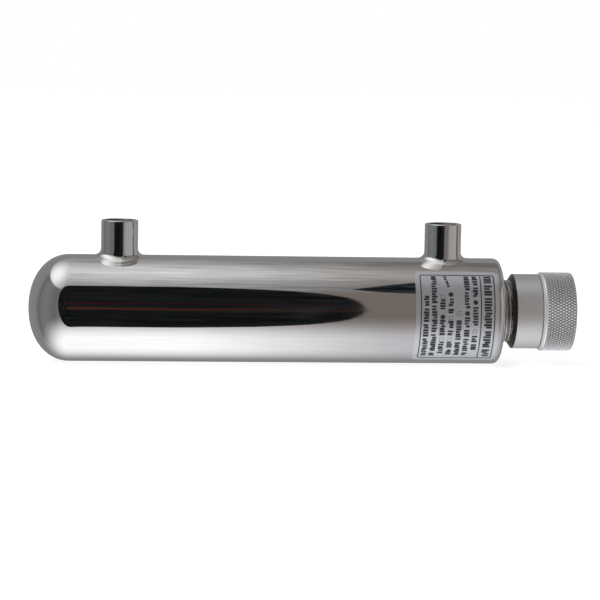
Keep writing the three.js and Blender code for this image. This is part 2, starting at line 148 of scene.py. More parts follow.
def revolve(outline, sides, closed=True):
    """(vertices, faces) in millimetres of a solid of revolution about X. A point's third value is its
    relief: how far the surface stands out at that x, for an array of angles."""
    angles = np.arange(sides) * TAU / sides
    area = sum(
        a[0] * b[1] - b[0] * a[1] for a, b in zip(outline, [*outline[1:], outline[0]], strict=True)
    )
    if area > 0:
        outline = outline[::-1]
    vertices, rings = [], []
    for point in outline:
        x, r = point[0], point[1]
        if r == 0.0:
            rings.append([len(vertices)] * sides)
            vertices.append((x, 0.0, 0.0))
            continue
        radii = np.full(sides, r)
        if len(point) > 2 and point[2]:
            radii = radii + point[2](x, angles)
        rings.append(list(range(len(vertices), len(vertices) + sides)))
        vertices.extend(zip(np.full(sides, x), radii * np.cos(angles), radii * np.sin(angles), strict=True))
    pairs = list(zip(rings, rings[1:], strict=False))
    if closed and outline[0][1] != 0.0:
        pairs.append((rings[-1], rings[0]))
    faces = []
    for first, second in pairs:
        for i in range(sides):
            j = (i + 1) % sides
            corners = [first[i], first[j], second[j], second[i]]
            distinct = list(dict.fromkeys(corners))
            if len(distinct) > 2:
                faces.append(distinct)
    return vertices, faces


def add_piece(name, shape, material, body, nodes=(), sharp=35, weighted=True):
    """Makes a piece from (vertices, faces) in millimetres, smooth shaded except at sharp edges."""
    vertices, faces = shape
    mesh = bpy.data.meshes.new(name)
    mesh.from_pydata([tuple(float(c) * MM for c in v) for v in vertices], [], faces)
    mesh.validate()
    mesh.shade_smooth()
    mesh.set_sharp_from_angle(angle=math.radians(sharp))
    mesh.materials.append(material)
    piece = bpy.data.objects.new(name, mesh)
    bpy.context.scene.collection.objects.link(piece)
    if weighted:
        modifier = piece.modifiers.new("even_shading", "WEIGHTED_NORMAL")
        modifier.keep_sharp = True
    if nodes:
        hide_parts(*nodes)
    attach(piece, body)
    return piece


def turned_piece(name, outline, sides, material, body, node, sharp=35):
    """A piece made by turning its outline about the chamber's axis."""
    return add_piece(name, revolve(outline, sides), material, body, [node], sharp)


def joined(*shapes):
    """Several (vertices, faces) as one."""
    vertices, faces = [], []
    for shape_vertices, shape_faces in shapes:
        start = len(vertices)
        vertices.extend(shape_vertices)
        faces.extend([[i + start for i in face] for face in shape_faces])
    return vertices, faces


def moved(shape, x=0.0, y=0.0, z=0.0):
    vertices, faces = shape
    return [(v[0] + x, v[1] + y, v[2] + z) for v in vertices], faces


def sweep(path, radius, sides):
    """A round wire of that radius along the path's points, closed at both ends."""
    points = [Vector(p) for p in path]
    vertices, faces = [], []
    normal = None
    for i, point in enumerate(points):
        ahead = points[min(i + 1, len(points) - 1)] - points[max(i - 1, 0)]
        tangent = ahead.normalized()
        if normal is None:
            normal = tangent.orthogonal().normalized()
        normal = (normal - tangent * normal.dot(tangent)).normalized()
        across = tangent.cross(normal)
        for k in range(sides):
            angle = k / sides * TAU
            vertices.append(tuple(point + radius * (math.cos(angle) * normal + math.sin(angle) * across)))
    for i in range(len(points) - 1):
        for k in range(sides):
            a, b = i * sides + k, i * sides + (k + 1) % sides
            faces.append([a, b, b + sides, a + sides])
    faces.append(list(range(sides))[::-1])
    faces.append([len(vertices) - sides + k for k in range(sides)])
    return vertices, faces


# ---------------------------------------------------------------- reliefs


def ridge(x, angles, pitch):
    """1 on the crest of a right-hand thread and 0 at its root. It is the same helix for an outside
    thread and for the inside thread that runs on it, so the two keep their gap all the way."""
    phase = (x / pitch - angles / TAU) % 1.0
    return np.clip(1.25 - 3.1 * np.abs(phase - 0.5), 0, 1)


def thread(pitch, depth, start_x, end_x):
    """Thread grooves between two places on the axis. They fade in over half a turn at start_x."""

    def relief(x, angles):
        fade = np.clip((x - start_x) / (0.5 * pitch), 0, 1) if x <= end_x else 0.0
        return -depth * (1 - ridge(x, angles, pitch)) * fade

    return relief


def nut_thread(pitch, depth, start_x, end_x):
    """Thread ridges inside a bore, which stand inwards and fade over half a turn at both ends."""

    def relief(x, angles):
        fade = np.clip(min(x - start_x, end_x - x) / (0.5 * pitch), 0, 1)
        return -depth * (1 - ridge(x, angles, pitch)) * fade

    return relief


def tapped(pitch, depth, start_x, end_x):
    """Thread grooves cut outwards into a bore, fading over half a turn at both ends."""

    def relief(x, angles):
        fade = np.clip(min(x - start_x, end_x - x) / (0.5 * pitch), 0, 1)
        return depth * ridge(x, angles, pitch) * fade

    return relief


def chamfered(thread_relief, start_x, slope):
    """A thread whose crests are cut back towards the end, and whose grooves run right out."""

    def relief(x, angles):
        return np.minimum(thread_relief(x, angles), -slope * max(0.0, x - start_x))

    return relief


def knurl(start_x, end_x):
    """Diamonds between two families of crossing V grooves, fading out at the border."""

    def groove(phase):
        return np.clip(1.1 - 2.5 * np.abs((phase % 1.0) - 0.5), 0, 1)

    def relief(x, angles):
        turn = KNURL_TEETH * angles / TAU
        depth = np.maximum(groove(turn + x / KNURL_PERIOD), groove(turn - x / KNURL_PERIOD))
        fade = np.clip(min(x - start_x, end_x - x) / 0.45, 0, 1)
        return -KNURL_DEPTH * depth * fade

    return relief


# ---------------------------------------------------------------- materials


class Graph:
    """Adds nodes to one node tree and links them."""

    def __init__(self, tree):
        self.tree = tree
        tree.nodes.clear()

    def add(self, kind, **settings):
        node = self.tree.nodes.new(kind)
        for key, value in settings.items():
            setattr(node, key, value)
        return node

    def link(self, source, target):
        self.tree.links.new(source, target)

    def feed(self, node, socket, value):
        if isinstance(value, bpy.types.NodeSocket):
            self.link(value, node.inputs[socket])
        elif value is not None:
            node.inputs[socket].default_value = value

    def math(self, operation, a, b=None, c=None):
        node = self.add("ShaderNodeMath", operation=operation)
        for i, value in enumerate((a, b, c)):
            self.feed(node, i, value)
        return node.outputs[0]

    def axes(self, vector):
        """The x, y and z of a vector."""
        split = self.add("ShaderNodeSeparateXYZ")
        self.link(vector, split.inputs[0])
        return split.outputs

    def place(self):
        """The x, y and z of the object's own place, in metres."""
        return self.axes(self.add("ShaderNodeTexCoord").outputs["Object"])

    def noise(self, vector, detail=3.0, roughness=0.5):
        node = self.add("ShaderNodeTexNoise")
        self.feed(node, "Vector", vector)
        self.feed(node, "Scale", 1.0)
        self.feed(node, "Detail", detail)
        self.feed(node, "Roughness", roughness)
        return node.outputs["Fac"]

    def grain(self, scale, detail=3.0, roughness=0.5):
        """Noise over the object's own place. scale is one number, or one for each axis."""
        coords = self.add("ShaderNodeTexCoord")
        mapping = self.add("ShaderNodeMapping")
        self.link(coords.outputs["Object"], mapping.inputs["Vector"])
        mapping.inputs["Scale"].default_value = scale if isinstance(scale, tuple) else (scale,) * 3
        return self.noise(mapping.outputs[0], detail, roughness)

    def spread(self, value, low, high, to_low, to_high):
        node = self.add("ShaderNodeMapRange")
        self.feed(node, "Value", value)
        self.feed(node, "From Min", low)
        self.feed(node, "From Max", high)
        self.feed(node, "To Min", to_low)
        self.feed(node, "To Max", to_high)
        return node.outputs["Result"]

    def ramp(self, factor, stops):
        node = self.add("ShaderNodeValToRGB")
        self.link(factor, node.inputs["Fac"])
        ramp = node.color_ramp
        while len(ramp.elements) > 1:
            ramp.elements.remove(ramp.elements[-1])
        ramp.elements[0].position = stops[0][0]
        ramp.elements[0].color = (*stops[0][1], 1)
        for position, colour in stops[1:]:
            element = ramp.elements.new(position)
            element.color = (*colour, 1)
        return node.outputs["Color"]

    def mix(self, factor, a, b, blend="MIX"):
        node = self.add("ShaderNodeMix", data_type="RGBA", blend_type=blend)
        self.feed(node, "Factor", factor)
        for index, value in ((6, a), (7, b)):
            if isinstance(value, bpy.types.NodeSocket):
                self.link(value, node.inputs[index])
            else:
                node.inputs[index].default_value = (*value, 1)
        return node.outputs[2]

    def bump(self, height, strength, distance):
        node = self.add("ShaderNodeBump")
        self.feed(node, "Height", height)
        self.feed(node, "Strength", strength)
        self.feed(node, "Distance", distance)
        return node.outputs["Normal"]

    def radius(self):
        """Distance from the chamber's axis, in metres."""
        _, y, z = self.place()
        squares = [self.math("MULTIPLY", side, side) for side in (y, z)]
        return self.math("SQRT", self.math("ADD", *squares))

    def finish(self, shader, colour, rough, normal):
        self.feed(shader, "Base Color", colour)
        self.feed(shader, "Roughness", rough)
        self.feed(shader, "Normal", normal)

    def surface(self, shader):
        output = self.add("ShaderNodeOutputMaterial")
        self.link(shader, output.inputs["Surface"])


def material(name, build, **constants):
    """A new Principled material: build adds its nodes, and constants go on the shader's own sockets."""
    made = bpy.data.materials.new(name)
    made.use_nodes = True
    graph = Graph(made.node_tree)
    shader = graph.add("ShaderNodeBsdfPrincipled")
    for key, value in constants.items():
        shader.inputs[key.replace("_", " ")].default_value = value
    build(graph, shader)
    graph.surface(shader.outputs[0])
    return made


def steel_finish(graph, shader, painted_shade=None, grain=(40, 900)):
    """Mirror-polished stainless steel. The third argument is 1 where the steel is left rough and painted
    near-black as painted shade, and grain is the scale of the polishing marks along the axis and across it."""
    along, across = grain
    streaks = graph.grain((along, across, across), 4.0, 0.6)
    cloud = graph.grain(30, 2.0)
    tint = graph.mix(cloud, (0.80, 0.795, 0.79), (0.86, 0.855, 0.85))
    rough = graph.spread(streaks, 0.3, 0.75, 0.025, 0.07)
    wave = graph.grain((16, 70, 70), 2.0, 0.4)
    fine = graph.grain((1.5 * along, 0.8 * across, 0.8 * across), 2.0, 0.5)
    height = graph.math("MULTIPLY_ADD", fine, 0.02, wave)
    # Painted shade: where the mask is 1 the steel is painted near-black and made rougher.
    if painted_shade is not None:
        tint = graph.mix(painted_shade, tint, (0.16, 0.15, 0.14))
        rough = graph.math("MULTIPLY_ADD", painted_shade, 0.3, rough)
    graph.finish(shader, tint, rough, graph.bump(height, 0.16, 0.0006))


def polished_steel():
    return material("polished_steel", steel_finish, Metallic=1.0)


def spun_steel():
    """The same steel on the two ends, where the polishing marks run round the axis."""

    def build(graph, shader):
        steel_finish(graph, shader, grain=(260, 60))

    return material("spun_steel", build, Metallic=1.0)


def port_steel():
    """The same steel, with painted shade inside the threaded bores: painted near-black there, and rougher."""

    def build(graph, shader):
        x, y, _ = graph.place()
        port_x = abs(port_place("inlet_port")[0]) * MM
        across = graph.math("SUBTRACT", graph.math("ABSOLUTE", x), port_x)
        squares = [graph.math("MULTIPLY", side, side) for side in (across, y)]
        radius = graph.math("SQRT", graph.math("ADD", *squares))
        edge = PORT_DARK_RADIUS * MM
        steel_finish(graph, shader, graph.spread(radius, edge, edge + 0.0003, 1.0, 0.0))

    return material("port_steel", build, Metallic=1.0)


def machined_steel():
    def build(graph, shader):
        lines = graph.grain((9000, 300, 300), 2.0)
        blotch = graph.grain(350)
        # Painted shade: the thread roots are painted dark grey, and only the crests keep the blotchy steel
        # tone.
        crest = graph.spread(graph.radius(), 0.0141, 0.0151, 0.0, 1.0)
        worn = graph.mix(blotch, (0.78, 0.76, 0.74), (0.93, 0.91, 0.89))
        colour = graph.mix(crest, (0.36, 0.335, 0.32), worn)
        rough = graph.spread(lines, 0.3, 0.7, 0.14, 0.28)
        graph.finish(shader, colour, rough, graph.bump(lines, 0.15, 0.00003))

    return material("machined_steel", build, Metallic=1.0)


def satin_aluminium():
    """Fine turned aluminium; the bevel that faces the chamber is glossier and painted near-black, a painted
    reflection of the shade between the nut and the shoulder.
    """

    def build(graph, shader):
        lines = graph.grain((7000, 40, 40), 2.0, 0.6)
        mottle = graph.grain(260)
        bevel_end = (span("gland_nut")[0] + GLAND_BEVEL) * MM
        body = graph.spread(graph.place()[0], bevel_end, bevel_end + 0.0002, 0.0, 1.0)
        silver = graph.mix(mottle, (0.74, 0.745, 0.75), (0.82, 0.825, 0.83))
        satin = graph.spread(lines, 0.3, 0.7, 0.36, 0.46)
        # Painted reflection: the bevel is painted near-black for the shade it reflects; the rest is plain
        # silver.
        graph.feed(shader, "Base Color", graph.mix(body, (0.075, 0.062, 0.056), silver))
        glossier = graph.math("SUBTRACT", body, 1.0)
        graph.feed(shader, "Roughness", graph.math("MULTIPLY_ADD", glossier, 0.22, satin))
        graph.feed(shader, "Normal", graph.bump(lines, 0.25, 0.00002))

    return material("satin_aluminium", build, Metallic=0.85)


def knurled_stretch():
    """Where the cap's knurl starts and ends."""
    start, end, _ = span("lamp_cap")
    return start + 1.6, end - 0.4


def knurled_aluminium():
    def build(graph, shader):
        along = graph.place()[0]
        start, end = (x * MM for x in knurled_stretch())
        inside = graph.math(
            "MULTIPLY",
            graph.spread(along, start, start + 0.0003, 0.0, 1.0),
            graph.spread(along, end - 0.0003, end, 1.0, 0.0),
        )
        # Painted shade: the knurl's pits, below the diamonds' tops, are painted dark grey.
        pit = graph.math("MULTIPLY", inside, graph.spread(graph.radius(), 0.01862, 0.01888, 1.0, 0.0))
        turned = graph.add("ShaderNodeCombineXYZ")
        graph.link(graph.math("MULTIPLY", graph.radius(), 5000.0), turned.inputs[0])
        graph.link(graph.math("MULTIPLY", along, 900.0), turned.inputs[1])
        lines = graph.noise(turned.outputs[0], 2.0)
        mottle = graph.grain(260)
        metal = graph.mix(mottle, (0.89, 0.905, 0.93), (0.95, 0.965, 0.99))
        colour = graph.mix(pit, metal, (0.25, 0.25, 0.265))
        rough = graph.spread(lines, 0.3, 0.7, 0.24, 0.36)
        graph.finish(shader, colour, rough, graph.bump(lines, 0.2, 0.00002))

    return material("knurled_aluminium", build, Metallic=0.64)


def label_foil():
    def build(graph, shader):
        flake = graph.grain(5000, 2.0)
        cloud = graph.grain(60)
        silver = graph.mix(flake, (0.62, 0.65, 0.69), (0.76, 0.79, 0.83))
        colour = graph.mix(graph.spread(cloud, 0.3, 0.7, 0, 0.3), silver, (0.72, 0.74, 0.77))
        rough = graph.spread(flake, 0.2, 0.8, 0.27, 0.36)
        graph.finish(shader, colour, rough, graph.bump(flake, 0.1, 0.00001))

    return material("label_foil", build, Metallic=0.82)


def label_ink():
    def build(graph, shader):
        speck = graph.grain(6000, 2.0)
        colour = graph.mix(speck, (0.012, 0.014, 0.018), (0.03, 0.033, 0.04))
        rough = graph.spread(speck, 0.3, 0.7, 0.35, 0.5)
        graph.finish(shader, colour, rough, graph.bump(speck, 0.1, 0.00001))

    return material("label_ink", build)


def drawn_metal(name, scale, dark, light, low_rough, high_rough):
    """Wire and plated contacts: fine draw marks with a little tarnish."""

    def build(graph, shader):
        marks = graph.grain(scale)
        colour = graph.mix(marks, dark, light)
        rough = graph.spread(marks, 0.3, 0.7, low_rough, high_rough)
        graph.finish(shader, colour, rough, graph.bump(marks, 0.15, 0.00001))

    return material(name, build, Metallic=1.0)


def clear_glass(name, tint, film_tint, haze):
    def build(graph, shader):
        film = graph.grain((120, 400, 400))
        colour = graph.mix(graph.spread(film, 0.4, 0.8, 0, 1), tint, film_tint)
        rough = graph.spread(film, 0.4, 0.8, 0.01, haze)
        graph.finish(shader, colour, rough, graph.bump(film, 0.1, 0.00003))

    return material(name, build, Transmission_Weight=1.0, IOR=1.46)


def moulded(name, dark, light, low_rough, high_rough, grain):
    """Rubber, nylon, ceramic or plastic: a fine grain in colour, gloss and height."""

    def build(graph, shader):
        fine = graph.grain(grain, 3.0, 0.6)
        broad = graph.grain(150, 2.0)
        colour = graph.mix(broad, dark, light)
        rough = graph.spread(fine, 0.3, 0.7, low_rough, high_rough)
        graph.finish(shader, colour, rough, graph.bump(fine, 0.2, 0.00003))

    return material(name, build)


def port_place(node):
    """(x of the port's axis, z of its rim) in millimetres."""
    low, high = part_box(node)
    return (low.x + high.x) / 2 / MM, high.z / MM


STEEL = polished_steel()
END_STEEL = spun_steel()
PORT_STEEL = port_steel()
MACHINED = machined_steel()
GLAND = satin_aluminium()
KNURLED = knurled_aluminium()
FOIL = label_foil()
INK = label_ink()
WIRE = drawn_metal("drawn_wire", 2500, (0.52, 0.51, 0.5), (0.66, 0.65, 0.64), 0.22, 0.34)
BRASS = drawn_metal("plated_brass", 800, (0.62, 0.46, 0.2), (0.83, 0.67, 0.36), 0.16, 0.3)
TUNGSTEN = drawn_metal("tungsten_wire", 4000, (0.3, 0.29, 0.28), (0.46, 0.45, 0.43), 0.35, 0.5)
QUARTZ = clear_glass("clear_quartz", (0.98, 0.99, 0.995), (0.93, 0.96, 0.97), 0.03)
LAMP_GLASS = clear_glass("lamp_glass_clear", (0.96, 0.98, 0.99), (0.86, 0.90, 0.94), 0.08)
RUBBER = moulded("black_rubber", (0.014, 0.014, 0.015), (0.03, 0.03, 0.031), 0.55, 0.75, 2600)
NYLON = moulded("natural_nylon", (0.70, 0.68, 0.60), (0.78, 0.77, 0.70), 0.4, 0.55, 1800)
CERAMIC = moulded("white_ceramic", (0.80, 0.78, 0.72), (0.87, 0.86, 0.81), 0.3, 0.45, 2200)
PLASTIC = moulded("socket_plastic", (0.018, 0.018, 0.02), (0.035, 0.035, 0.038), 0.38, 0.52, 2400)


# ---------------------------------------------------------------- chamber


PORT_NODES = ("inlet_port", "outlet_port")


def chamber_tube():
    """A tube with its two port holes. Round each hole the squares of the grid give way to spokes, so that
    every point lies exactly on the cylinder."""
    radius = span("chamber_tube")[2]
    start = span("dome_end")[1]
    end = span("shoulder_end")[0]
    sides, half_window, spoke_steps, gap_steps = 96, 10, 6, 24
    window_steps = 2 * half_window
    step = TAU / sides
    centres = [port_place(node)[0] for node in PORT_NODES]
    columns = [start]
    for centre in centres:
        columns += [centre + (i / half_window - 1) * PORT_HOLE_WINDOW for i in range(window_steps + 1)]
        if centre == centres[0]:
            gap = centres[1] - centres[0] - 2 * PORT_HOLE_WINDOW
            columns += [centre + PORT_HOLE_WINDOW + gap * i / gap_steps for i in range(1, gap_steps)]
    columns.append(end)
    windows = [(1, centres[0]), (1 + window_steps + gap_steps, centres[1])]
    top = sides // 4
    vertices, faces, normals = [], [], []

    def skin(r, outward):
        index = {}

        def at(x, angle):
            key = (round(x, 5), round(angle % TAU, 7))
            if key not in index:
                index[key] = len(vertices)
                vertices.append((x, r * math.cos(angle), r * math.sin(angle)))
            return index[key]

        def add(corners, flip=False):
            ids = [at(*c) for c in corners]
            ids = ids if outward != flip else ids[::-1]
            faces.append(ids)
            sign = 1 if outward else -1
            for i in ids:
                x, y, z = vertices[i]
                normals.append((0.0, sign * y / r, sign * z / r))

        for i in range(len(columns) - 1):
            for k in range(sides):
                in_window = any(w <= i < w + window_steps for w, _ in windows)
                if in_window and top - half_window <= k < top + half_window:
                    continue
                a, b = k * step, ((k + 1) % sides) * step
                add([(columns[i], a), (columns[i], b), (columns[i + 1], b), (columns[i + 1], a)])
        rims = []
        for w, centre in windows:
            low_angle, high_angle = (top - half_window) * step, (top + half_window) * step
            far = w + window_steps
            edge = [(columns[w + i], low_angle) for i in range(window_steps)]
            edge += [(columns[far], low_angle + i * step) for i in range(window_steps)]
            edge += [(columns[far - i], high_angle) for i in range(window_steps)]
            edge += [(columns[w], high_angle - i * step) for i in range(window_steps)]
            spokes = []
            for x, angle in edge:
                bearing = math.atan2((angle - math.pi / 2) * r, x - centre)
                hole_x = centre + PORT_BORE * math.cos(bearing)
                hole_angle = math.pi / 2 + math.asin(PORT_BORE * math.sin(bearing) / r)
                shares = [t / spoke_steps for t in range(spoke_steps + 1)]
                across, around = x - hole_x, angle - hole_angle
                spokes.append([(hole_x + across * t, hole_angle + around * t) for t in shares])
            for j, spoke in enumerate(spokes):
                following = spokes[(j + 1) % len(spokes)]
                for t in range(spoke_steps):
                    add([spoke[t], spoke[t + 1], following[t + 1], following[t]], flip=True)
            rims.append([at(*spoke[0]) for spoke in spokes])
        ends = [[at(x, k * step) for k in range(sides)] for x in (start, end)]
        return rims, ends

    outer_rims, outer_ends = skin(radius, True)
    inner_rims, inner_ends = skin(radius - CHAMBER_WALL, False)
    for (outer, inner), centre in zip(zip(outer_rims, inner_rims, strict=True), centres, strict=True):
        for j in range(len(outer)):
            k = (j + 1) % len(outer)
            ids = [outer[j], outer[k], inner[k], inner[j]]
            faces.append(ids)
            for i in ids:
                x, y, _ = vertices[i]
                normals.append(tuple(Vector((centre - x, -y, 0)).normalized()))
    for outer, inner, direction in ((outer_ends[0], inner_ends[0], -1), (outer_ends[1], inner_ends[1], 1)):
        for j in range(sides):
            k = (j + 1) % sides
            ids = [outer[j], outer[k], inner[k], inner[j]]
            faces.append(ids if direction > 0 else ids[::-1])
            normals.extend([(float(direction), 0.0, 0.0)] * 4)
    piece = add_piece(
        "tube_shell", (vertices, faces), STEEL, "chamber", ["chamber_tube"], weighted=False
    )
    piece.data.normals_split_custom_set(normals)
    return piece


def dome_end():
    start, end, radius = span("dome_end")
    depth = end - start
    outer = arc(end, 0, -depth, radius, 40, DOME_POWER)
    inner = arc(end, 0, CHAMBER_WALL - depth, radius - CHAMBER_WALL, 24, DOME_POWER)
    outline = [*outer[::-1], *inner]
    return turned_piece("dome_shell", outline, 96, END_STEEL, "chamber", "dome_end")


def shoulder_end():
    start, end, radius = span("shoulder_end")
    hole = 13.4
    corner = end - start
    outline = [
        *arc(start, radius - corner, corner, corner, 16),
        (end, hole),
        (end - CHAMBER_WALL, hole),
        *arc(start, radius - corner, corner - CHAMBER_WALL, corner - CHAMBER_WALL, 8)[::-1],
    ]
    return turned_piece("shoulder_shell", outline, 96, END_STEEL, "chamber", "shoulder_end")


def port(node):
    """A port turned about +X, stood up along +Z, and its weld fillet laid on the tube."""
    centre, rim_z = port_place(node)
    radius = span("chamber_tube")[2]
    rim = rim_z - radius
    mouth = PORT_BORE + PORT_THREAD_DEPTH + 0.45
    reach = WELD_RADIUS - BEAD_WIDTH - PORT_WALL_RADIUS
    fillet = []
    for i in range(17):
        angle = i / 16 * math.pi / 2
        fillet.append((WELD_HEIGHT * (1 - math.cos(angle)), PORT_WALL_RADIUS + reach * (1 - math.sin(angle))))
    thread_end = rim - 1.2
    cut = tapped(PORT_THREAD_PITCH, PORT_THREAD_DEPTH, 3.0, thread_end)
    outline = [
        (-CHAMBER_WALL * 0.5, PORT_BORE),
        (-CHAMBER_WALL * 0.5, PORT_WALL_RADIUS),
        (-0.25, WELD_RADIUS - 0.3),
        (-0.05, WELD_RADIUS),
        *[
            (BEAD_HEIGHT * math.sin(i / 6 * math.pi), WELD_RADIUS - BEAD_WIDTH * i / 6)
            for i in range(1, 6)
        ],
        *fillet,
        *[(WELD_HEIGHT + (rim - 0.8 - WELD_HEIGHT) * i / 5, PORT_WALL_RADIUS) for i in range(1, 5)],
        *arc(rim - 0.7, PORT_WALL_RADIUS - 0.7, 0.7, 0.7, 6),
        *arc(rim - 0.15, mouth + 0.15, 0.15, -0.15, 3)[::-1],
        (rim - 1.2, PORT_BORE + 0.3),
        *row_of(thread_end, 2.5, PORT_BORE, PORT_THREAD_PITCH / 10, cut),
    ]
    vertices, faces = revolve(outline, 96)
    laid = []
    for x, y, z in vertices:
        sag = radius - math.sqrt(radius**2 - y**2)
        weight = min(1.0, max(0.0, (WELD_HEIGHT + 3.0 - x) / 3.0))
        laid.append((centre - z, y, radius + x - sag * weight))
    return add_piece(
        node + "_socket", (laid, faces), PORT_STEEL, "chamber", [node], sharp=40
    )


def threaded_neck():
    start, end, radius = span("threaded_neck")
    flange = span("shoulder_end")[1]
    cut = chamfered(thread(NECK_PITCH, NECK_THREAD_DEPTH, flange + 0.9, end), end - 0.9, 1.2)
    outline = [
        (start, NECK_BORE),
        (start, 13.1),
        (flange - 0.1, 13.1),
        (flange - 0.1, radius - 0.9),
        (flange + 0.6, radius - 0.9),
        (flange + 0.9, radius - 0.05),
        *row_of(flange + 0.95, end, radius, NECK_PITCH / 14, cut),
        (end, NECK_SEAT_RADIUS),
        (end - 2.1, NECK_SEAT_RADIUS),
        (end - 2.1, NECK_BORE),
    ]
    return turned_piece(
        "neck_thread", outline, 96, MACHINED, "chamber", "threaded_neck", sharp=50
    )


def centring_spring():
    low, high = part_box("sleeve_centring_spring")
    wire = 0.5
    turns, steps = 4, 4 * 32
    radius = high.y / MM - wire
    start, end = low.x / MM + wire, high.x / MM - wire
    path = []
    for i in range(steps + 1):
        t = i / steps
        angle = t * turns * TAU
        path.append((start + (end - start) * t, radius * math.cos(angle), radius * math.sin(angle)))
    shape = sweep(path, wire, 10)
    return add_piece("centring_coil", shape, WIRE, "chamber", ["sleeve_centring_spring"])


# ---------------------------------------------------------------- label


LABEL_FOIL_RADIUS = 25.55
LABEL_DEGREE = math.radians(1) * LABEL_FOIL_RADIUS  # the length of one degree round the label
LABEL_TOP = 52.3
LABEL_BOTTOM = -59.8
LABEL_CORNER = 2.2
PRINT_TOP = 45.8
PRINT_BOTTOM = -52.4


def angle_at(share):
    """The angle at that share of the way down the print."""
    return PRINT_TOP + (PRINT_BOTTOM - PRINT_TOP) * share


def on_label(x, angle, radius):
    """A point at an angle in degrees above the label's front, at that radius."""
    turn = math.radians(angle)
    return (x, -radius * math.cos(turn), radius * math.sin(turn))


def label_foil_sheet():
    """A thin sheet with round corners, wrapped on the tube: rows of two points, top and bottom skin."""
    start, end, _ = span("rating_label")
    corner = LABEL_CORNER / LABEL_DEGREE
    angles = []
    for i in range(9):
        angles.append(LABEL_TOP - corner * (1 - math.cos(i / 8 * math.pi / 2)))
    middle = 60
    for i in range(1, middle):
        angles.append(LABEL_TOP - corner + (LABEL_BOTTOM - LABEL_TOP + 2 * corner) * i / middle)
    for i in range(9):
        angles.append(LABEL_BOTTOM + corner * (1 - math.sin(i / 8 * math.pi / 2)))
    inner = span("chamber_tube")[2] + 0.01
    vertices, faces = [], []
    for angle in angles:
        into = max(0.0, corner - (LABEL_TOP - angle), corner - (angle - LABEL_BOTTOM)) * LABEL_DEGREE
        inset = LABEL_CORNER - math.sqrt(max(0.0, LABEL_CORNER**2 - into**2))
        for radius in (LABEL_FOIL_RADIUS, inner):
            for t in (0.0, 0.5, 1.0):
                x = start + inset + (end - start - 2 * inset) * t
                vertices.append(on_label(x, angle, radius))
    for i in range(len(angles) - 1):
        a, b = 6 * i, 6 * (i + 1)
        for k in (0, 1):
            faces.append([a + k, b + k, b + k + 1, a + k + 1])
            faces.append([a + 3 + k, a + 4 + k, b + 4 + k, b + 3 + k])
        faces.append([a, a + 3, b + 3, b])
        faces.append([a + 2, b + 2, b + 5, a + 5])
    last = 6 * (len(angles) - 1)
    for k in (0, 1):
        faces.append([k, k + 1, k + 4, k + 3])
        faces.append([last + k, last + 3 + k, last + 4 + k, last + k + 1])
    return add_piece(
        "label_sheet", (vertices, faces), FOIL, "chamber", ["rating_label"], sharp=30
    )


class Print:
    """Ink shapes on the label, as thin raised islands."""

    def __init__(self):
        self.vertices, self.faces = [], []
        self.low, self.high = LABEL_FOIL_RADIUS - 0.01, LABEL_FOIL_RADIUS + 0.03

    def island(self, rows):
        """rows are lists of (x, angle) points, one line across the island each."""
        start, width = len(self.vertices), len(rows[0])
        for radius in (self.high, self.low):
            for row in rows:
                self.vertices.extend(on_label(x, angle, radius) for x, angle in row)
        layer = width * len(rows)
        for i in range(len(rows) - 1):
            for k in range(width - 1):
                a = start + i * width + k
                corners = [a, a + width, a + width + 1, a + 1]
                self.faces.append(corners)
                self.faces.append([c + layer for c in corners[::-1]])
        border = [start + k for k in range(width)]
        border += [start + i * width + width - 1 for i in range(1, len(rows))]
        border += [start + (len(rows) - 1) * width + k for k in range(width - 2, -1, -1)]
        border += [start + i * width for i in range(len(rows) - 2, 0, -1)]
        for a, b in zip(border, border[1:] + border[:1], strict=True):
            self.faces.append([a, b, b + layer, a + layer])

    def block(self, x0, x1, top, bottom):
        count = max(1, math.ceil(abs(top - bottom) / 4))
        rows = []
        for i in range(count + 1):
            t = i / count
            angle = top + (bottom - top) * t
            rows.append([(x0, angle), (x1, angle)])
        self.island(rows)

    def dot(self, x, angle, size):
        degrees = size / LABEL_DEGREE
        rows = []
        for i in range(13):
            turn = math.pi * (0.03 + 0.94 * i / 12)
            rows.append([(x - size * math.sin(turn), angle + degrees * math.cos(turn)),
                         (x + size * math.sin(turn), angle + degrees * math.cos(turn))])
        self.island(rows)

    def box(self, x, angle, size, line):
        tall, thin = size / LABEL_DEGREE, line / LABEL_DEGREE
        self.block(x - size, x + size, angle + tall, angle + tall - thin)
        self.block(x - size, x + size, angle - tall + thin, angle - tall)
        self.block(x - size, x - size + line, angle + tall - thin, angle - tall + thin)
        self.block(x + size - line, x + size, angle + tall - thin, angle - tall + thin)

    def words(self, x, first, last, height, pitch, weight, lean=0.0):
        """Greeked writing: a run of small upright blocks of uneven width and height, in word-long groups."""
        angle, end = angle_at(first), angle_at(last)
        total = angle - end
        letters = 0
        while angle - pitch / LABEL_DEGREE > end:
            letters += 1
            if letters > 3 and random.random() < 0.16:
                letters = 0
                angle -= 0.7 * pitch / LABEL_DEGREE
                continue
            here = x + lean * (1 - (angle - end) / total)
            width = weight * random.uniform(0.8, 1.15) * pitch / LABEL_DEGREE
            short = height * random.choice((0, 0, 0.15, 0.25))
            over = random.choice((0, 1))
            low, high = here - height / 2 + short * over, here + height / 2 - short * (1 - over)
            self.block(low, high, angle, angle - width)
            angle -= pitch / LABEL_DEGREE


